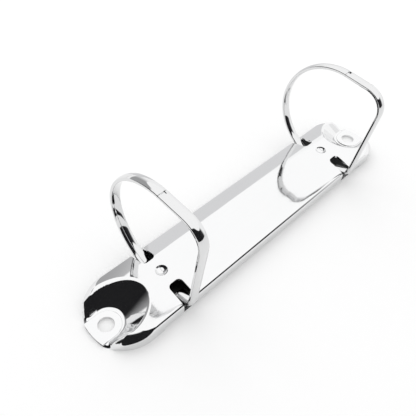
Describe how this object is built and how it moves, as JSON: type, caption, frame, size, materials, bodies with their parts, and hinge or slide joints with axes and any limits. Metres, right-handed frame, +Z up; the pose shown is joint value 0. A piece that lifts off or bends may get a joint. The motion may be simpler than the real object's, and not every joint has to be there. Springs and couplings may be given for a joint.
{
  "type": "ring binder mechanism",
  "caption": "A plated steel ring binder mechanism with an arched cover, scooped rivet tabs, hinge plates and flat-wire D rings that open together.",
  "frame": {"origin": "Midway between the rivet holes, in the plane of the board that the cover sits on.", "axes": "+X along the cover from the near ring to the far ring, +Y to the round side of the rings, +Z up out of the board."},
  "size_m": [0.1316, 0.0375, 0.0411],
  "materials": {
    "cover_plating": "polished",
    "ring_plating": "polished",
    "plate_steel": "satin"
  },
  "bodies": {
    "cover_body": {"cover": "cover_plating"},
    "left_leaf": {"left_hinge_plate": "plate_steel", "near_round_half_ring": "ring_plating", "far_round_half_ring": "ring_plating"},
    "right_leaf": {"right_hinge_plate": "plate_steel", "near_straight_half_ring": "ring_plating", "far_straight_half_ring": "ring_plating"}
  },
  "joints": [
    {"name": "left_leaf_hinge", "type": "hinge", "parent": "cover_body", "child": "left_leaf", "pos_m": [0, 0.01105, 0.00135], "axis": [-1, 0, 0], "range_deg": [0, 20]},
    {"name": "right_leaf_hinge", "type": "hinge", "parent": "cover_body", "child": "right_leaf", "pos_m": [0, -0.01105, 0.00135], "axis": [1, 0, 0], "range_deg": [0, 20]}
  ],
  "couplings": [
    {"joint": "right_leaf_hinge", "follows": "left_leaf_hinge", "ratio": 1}
  ]
}
